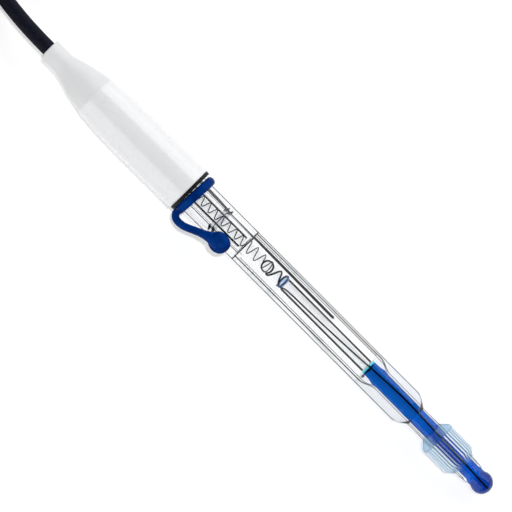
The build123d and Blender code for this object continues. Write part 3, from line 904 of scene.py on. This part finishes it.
def leaning_loop(x, lean, radius, thickness, steps=40):
    """A ring round the collar's axis, leaning from square across it by so many degrees."""
    lean_cos, lean_sin = math.cos(math.radians(lean)), math.sin(math.radians(lean))
    points = []
    for i in range(steps):
        a = 2 * math.pi * i / steps
        side, rise = radius * math.cos(a), radius * math.sin(a)
        points.append((x + rise * lean_sin, COLLAR_Y + side, rise * lean_cos))
    ring = curve("loop", points, thickness, kind="POLY")
    ring.data.splines[0].use_cyclic_u = True
    return evaluated(ring)


def on_neck(face):
    radial = math.hypot(face.center.y - COLLAR_Y * MM, face.center.z)
    inside = radial < (NECK_RADIUS + 0.01) * MM and abs(face.normal.x) < 0.9
    return inside and between(face, NECK_START - 0.1, NECK_END + 0.1)


neck_outline = tube(NECK_START, NECK_END, NECK_RADIUS, 1.75)
neck = lathe("neck", [neck_outline], segments=48, sway=off_axis(COLLAR_Y))
collar = new_object("collar_loop", merge("collar_loop", [
    (leaning_loop(104.1, 18, 2.15, 0.34), UNMOVED), (neck, UNMOVED),
]))
soften(collar.data, 40)
collar_blue = material("collar_tint", (0.02, 0.07, 0.24), 0.4, Specular_IOR_Level=0.15)
mottle(collar_blue, (0.05, 0.14, 0.34), (0.01, 0.03, 0.12), 900)
# The neck's dark blue outline is painted shade.
paint(collar, collar_blue, film("collar_neck", (0.9, 0.94, 0.97), (0.12, 0.25, 0.45), 0.5, 0.75))
wear(collar, 1, on_neck)
stand_for(collar, "collar_blue", "electrode", "cartridge_collar")

# Seal ring: two clear lips with dark outlines of painted shade, and the thin dark ring between them

RING_START, RING_END = 76.12, 76.32

seal = lathed(
    "seal_lips",
    [
        [(74.9, 3.8), (75.15, 3.8), (76.05, 4.95), (75.75, 4.95), (74.9, 3.8)],
        [(76.4, 3.8), (76.7, 3.8), (77.6, 4.95), (77.25, 4.95), (76.4, 3.8)],
        [(RING_START, 3.78), (76.3, 3.78), (RING_END, 3.95), (76.15, 3.95), (RING_START, 3.78)],
    ],
    angle=30,
)
seal_dark = material("seal_dark", (0.01, 0.01, 0.012), 0.5, Specular_IOR_Level=0.1)
mottle(seal_dark, (0.014, 0.014, 0.016), (0.006, 0.006, 0.008), 900)
seal_clear = film("seal_clear", (0.93, 0.93, 0.945), (0.01, 0.01, 0.015), 0.56, 0.68)
paint(seal, seal_clear, seal_dark)
wear(seal, 1, lambda face: between(face, RING_START, RING_END))
stand_for(seal, "seal_clear", "electrode", "seal_ring")

# Rubber closure: ring, strap and stopper as one moulding

HOLE_X = 81.1
AZIMUTH = math.radians(42)              # of the stopper round the shaft
BAND_X, BAND_HALF = 65.28, 1.5          # the ring's middle and half its width
BAND_FOOT, BAND_EDGE, BAND_MIDDLE, BAND_CROWN = 6.06, 6.6, 6.7, 7.84
BAND_SLANT = math.radians(-2.6)
CLOSURE_VOXEL = 0.2


def closure_mesh():
    profile = [(BAND_HALF, BAND_FOOT), (BAND_HALF, BAND_EDGE)]
    for i in range(13):
        a = math.pi * i / 12
        rise = (BAND_CROWN - BAND_MIDDLE) * math.sin(a)
        profile.append((BAND_HALF * math.cos(a), BAND_MIDDLE + rise))
    profile += [(-BAND_HALF, BAND_EDGE), (-BAND_HALF, BAND_FOOT), (BAND_HALF, BAND_FOOT)]
    on_shaft = Matrix.Translation((BAND_X * MM, 0, 0)) @ Matrix.Rotation(BAND_SLANT, 4, "Z")
    strap = curve(
        "strap",
        [(65.0, -6.4, -0.6), (64.8, -7.4, -0.2), (64.95, -8.5, 0.3), (65.9, -9.45, 0.8),
         (67.6, -9.75, 1.4), (69.8, -9.4, 2.3), (72.4, -8.2, 3.5), (74.8, -7.1, 4.6),
         (76.9, -6.3, 5.4), (79.2, -5.6, 6.0), (81.1, -5.3, 6.1)],
        1.27, resolution=10, bevel=6, swell=[1, 1, 1, 1, 1, 1, 1, 1.03, 1.25, 1.75, 1.75],
    )
    head = [
        (4.8, 0), (4.8, 1.6), (5.1, 1.93), (6.35, 1.93), (6.3, 3.1), (6.5, 3.5), (6.9, 3.66),
        (7.9, 3.62), (8.8, 3.45), (9.35, 3.1), (9.62, 2.6), (9.68, 1.6), (9.65, 0),
    ]
    in_hole = (
        Matrix.Translation((HOLE_X * MM, 0, 0))
        @ Matrix.Rotation(AZIMUTH, 4, "X")
        @ Matrix.Rotation(math.radians(-90), 4, "Y")
    )
    moulding = new_object("closure", merge("closure", [
        (lathe("band", [profile]), on_shaft),
        (evaluated(strap), UNMOVED),
        (lathe("head", [head], segments=64), in_hole),
    ]))
    remesh = moulding.modifiers.new("remesh", "REMESH")
    remesh.mode = "VOXEL"
    remesh.voxel_size = CLOSURE_VOXEL * MM
    remesh.use_smooth_shade = True
    relax = moulding.modifiers.new("relax", "SMOOTH")
    relax.factor = 0.5
    relax.iterations = 8
    return evaluated(moulding)


closure = new_object("closure", closure_mesh())
soften(closure.data, 60)
rubber_blue = material("closure_rubber", (0.0, 0.026, 0.17), 0.3, Specular_IOR_Level=0.02)
mottle(rubber_blue, (0.0, 0.034, 0.21), (0.0, 0.017, 0.12), 260)
bump(rubber_blue, 650, 0.12, 0.7)
paint(closure, rubber_blue)
stand_for(closure, "closure_blue", None, "closure_ring", "closure_stopper")
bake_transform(closure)

# Sleeve: translucent, with ribs that stand whiter than their grooves: painted light on the crests
# and painted shade in the grooves

SLEEVE_START, SLEEVE_END = 171.3, 185.7
SLEEVE_BORE = 3.81                      # faces within this radius are the bore's
RIBS = 32
STEPS_A_RIB = 12
RIB_DEPTH = 0.45
RIB_TURN = math.radians(2.9)            # of the first rib round the axis
PLAIN_CREST = 0.28                      # how white the sleeve is where it has no ribs


def sleeve_mesh():
    """The sleeve, with how far each point stands on a rib's crest as an attribute. A station's
    third number is the depth of the ribs there."""
    around = STEPS_A_RIB * RIBS
    stations = [
        (SLEEVE_START, 3.68, 0), (SLEEVE_START, 3.95, 0), (171.45, 4.12, 0), (171.9, 4.5, 0),
        (172.5, 5.1, 0), (173.0, 5.62, 0), (173.35, 5.83, 0), (173.9, 5.86, 0),
        (174.25, 5.86, 0), (174.55, 5.86, 0.75), (174.8, 5.86, 1), (179, 5.86, 1),
        (183.1, 5.86, 1), (183.35, 5.8, 1), (184.2, 5.05, 0.75), (184.6, 4.7, 0.2),
        (185.1, 4.24, 0), (185.5, 4.0, 0), (SLEEVE_END, 3.88, 0), (SLEEVE_END, 3.8, 0),
        (185.0, 3.76, 0), (172.0, 3.68, 0),
    ]
    bm = bmesh.new()
    layer = bm.verts.layers.float.new("crest")
    rings = []
    for x, r, depth in stations:
        ring = []
        for i in range(around):
            a = 2 * math.pi * (i + 0.5) / around
            wave = 0.5 + 0.5 * math.cos((a - RIB_TURN) * RIBS)
            crest = smooth_step(wave, 0.15, 0.75)
            now = r - RIB_DEPTH * depth * (1 - crest)
            vert = bm.verts.new((x * MM, now * MM * math.cos(a), now * MM * math.sin(a)))
            outer = r > SLEEVE_BORE
            vert[layer] = crest * depth + PLAIN_CREST * (1 - depth) if outer else 0
            ring.append(vert)
        rings.append(ring)
    for one, two in zip(rings, rings[1:] + rings[:1]):
        for i in range(around):
            j = (i + 1) % around
            bm.faces.new((one[i], one[j], two[j], two[i]))
    bmesh.ops.recalc_face_normals(bm, faces=bm.faces)
    mesh = bpy.data.meshes.new("sleeve")
    bm.to_mesh(mesh)
    bm.free()
    soften(mesh, 50)
    return mesh


def radial_normal(mat):
    """The way out from the electrode's axis, whatever the surface's own relief."""
    outward = add(mat, "ShaderNodeVectorMath", operation="MULTIPLY")
    outward.inputs[1].default_value = (0, 1, 1)
    unit = add(mat, "ShaderNodeVectorMath", operation="NORMALIZE")
    to_world = add(mat, "ShaderNodeVectorTransform", vector_type="NORMAL")
    link(mat, own_place(mat), outward.inputs[0])
    link(mat, outward.outputs[0], unit.inputs[0])
    link(mat, unit.outputs[0], to_world.inputs[0])
    return to_world.outputs[0]


def sleeve_material():
    """A clear window mixed with a milk-white body. The body's share grows with the crest and
    towards the silhouettes, as painted light, and the window's tint is deepest in the grooves and
    at the silhouettes, as painted shade."""
    mat = material("sleeve_blue", (0.68, 0.8, 0.88), 0.3)
    body = principled(mat)
    crest = add(mat, "ShaderNodeAttribute", attribute_name="crest").outputs["Fac"]
    link(mat, ramp(mat, crest, [
        (0.0, (0.03, 0.08, 0.2)), (0.2, (0.4, 0.62, 0.78)), (1.0, (0.86, 0.93, 0.97)),
    ]), body.inputs["Base Color"])
    tint = add(mat, "ShaderNodeMixRGB", blend_type="MULTIPLY")
    tint.inputs["Fac"].default_value = 1.0
    at_edge = facing_ramp(mat, (1, 1, 1), (0.12, 0.22, 0.34), 0.72, 0.9)
    link(mat, at_edge, tint.inputs["Color1"])
    link(mat, ramp(mat, crest, [
        (0.0, (0.42, 0.57, 0.7)), (0.2, (0.72, 0.83, 0.9)), (1.0, (0.93, 0.965, 0.985)),
    ]), tint.inputs["Color2"])
    window = plain_shader(mat, "ShaderNodeBsdfTransparent", tint.outputs["Color"])
    body_share = map_range(mat, crest, 0, 1, 0.06, 0.8)
    sheen_to_edges = map_range(mat, facing(mat, radial_normal(mat)), 0.015, 0.06, 0.17, 1)
    milk_and_painted_light = maths(mat, "MULTIPLY", body_share, sheen_to_edges)
    show(mat, mix_shaders(mat, milk_and_painted_light, window, body.outputs[0]))
    return mat


sleeve = new_object("sleeve", sleeve_mesh())
# The bore's dark outline is painted shade.
sleeve_bore = film("sleeve_bore", (0.97, 0.98, 0.99), (0.6, 0.7, 0.78), 0.75, 0.95)
paint(sleeve, sleeve_material(), sleeve_bore)
wear(sleeve, 1, lambda face: math.hypot(face.center.y, face.center.z) < SLEEVE_BORE * MM)
stand_for(sleeve, "sleeve_blue", "sleeve", "junction_sleeve")

# Metals and plastics of the plug and of what is inside the cap

nickel = material("nickel_plate", (0.62, 0.61, 0.59), 0.22, Metallic=1.0)
mottle(nickel, (0.66, 0.65, 0.63), (0.55, 0.54, 0.52), 300)
gold = material("gold_plate", (0.75, 0.52, 0.2), 0.25, Metallic=1.0)
mottle(gold, (0.78, 0.55, 0.22), (0.66, 0.45, 0.17), 500)
core_white = material("core_white", (0.8, 0.8, 0.78), 0.45)
mottle(core_white, (0.82, 0.82, 0.8), (0.76, 0.76, 0.74), 600)
tie_black = material("tie_black", (0.02, 0.02, 0.021), 0.45)
mottle(tie_black, (0.025, 0.025, 0.026), (0.014, 0.014, 0.015), 700)
potting = material("potting_resin", (0.02, 0.02, 0.022), 0.3)
mottle(potting, (0.03, 0.03, 0.032), (0.014, 0.014, 0.016), 400)

for mat, names in (
    (cap_white, ("cap_barrel",)),
    (boot_white, ("strain_relief_boot",)),
    (black_rubber, ("cap_gasket", "top_bung", "plug_gasket", "plug_boot")),
    (nickel, ("plug_coupling_nut", "plug_body", "plug_crimp", "plug_spring_washer")),
    (nickel, ("screen_braid", "crimp_ferrule")),
    (gold, ("plug_pin", "spring_terminal", "core_conductor")),
    (core_white, ("plug_insulator", "core_insulation", "plug_core")),
    (cable_black, ("cable_jacket_end", "plug_cable")),
    (tie_black, ("hank_ties",)),
    (potting, ("potting_resin",)),
):
    for name in names:
        paint(NODES[name], mat)

for node in NODES.values():
    if not node.hide_render:
        node.data.polygons.foreach_set("use_smooth", [True] * len(node.data.polygons))

scene = bpy.context.scene
scene.view_settings.view_transform = "Standard"
scene.cycles.max_bounces = 20
scene.cycles.transmission_bounces = 20
scene.cycles.transparent_max_bounces = 40
